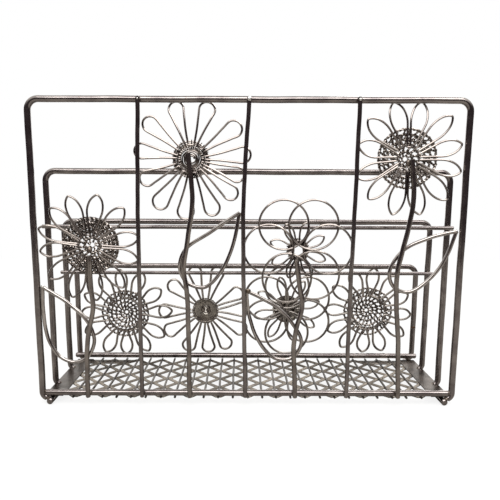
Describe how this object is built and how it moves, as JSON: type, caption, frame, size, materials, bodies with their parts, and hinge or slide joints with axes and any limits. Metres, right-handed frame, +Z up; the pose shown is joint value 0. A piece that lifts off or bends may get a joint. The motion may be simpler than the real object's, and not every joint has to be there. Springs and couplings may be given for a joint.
{
  "type": "desktop file sorter",
  "caption": "Free-standing welded wire file sorter with stepped hoops, an expanded-mesh base and wire flower panels.",
  "frame": {"origin": "centre of the footprint on the surface it stands on", "axes": "+X along the length, +Y from the tallest hoop towards the shortest, +Z up"},
  "size_m": [0.3216, 0.1234, 0.2295],
  "materials": {
    "frame_wire": "dark pewter lacquer, satin",
    "flower_wire": "dark pewter lacquer, satin",
    "hub_steel": "dark pewter lacquer, satin",
    "mesh_steel": "pewter lacquer, satin"
  },
  "bodies": {
    "root": {"hoop_1": "frame_wire", "hoop_2": "frame_wire", "hoop_3": "frame_wire", "hoop_4": "frame_wire", "front_rail": "frame_wire", "rear_rail": "frame_wire", "runner_left": "frame_wire", "runner_right": "frame_wire", "crossbar_2": "frame_wire", "crossbar_3": "frame_wire", "bar_1": "frame_wire", "bar_2": "frame_wire", "bar_3": "frame_wire", "stem_a": "flower_wire", "stem_b": "flower_wire", "stem_c": "flower_wire", "stem_d": "flower_wire", "leaf_a": "flower_wire", "leaf_b": "flower_wire", "leaf_c": "flower_wire", "leaf_d": "flower_wire", "petals_a": "flower_wire", "petals_b": "flower_wire", "petals_c": "flower_wire", "petals_d": "flower_wire", "petals_e": "flower_wire", "petals_f": "flower_wire", "petals_g": "flower_wire", "petals_h": "flower_wire", "inner_petals_c": "flower_wire", "inner_petals_g": "flower_wire", "hub_a": "hub_steel", "hub_b": "hub_steel", "hub_c": "hub_steel", "hub_d": "hub_steel", "hub_e": "hub_steel", "hub_f": "hub_steel", "hub_g": "hub_steel", "hub_h": "hub_steel", "base_mesh": "mesh_steel"}
  },
  "joints": []
}
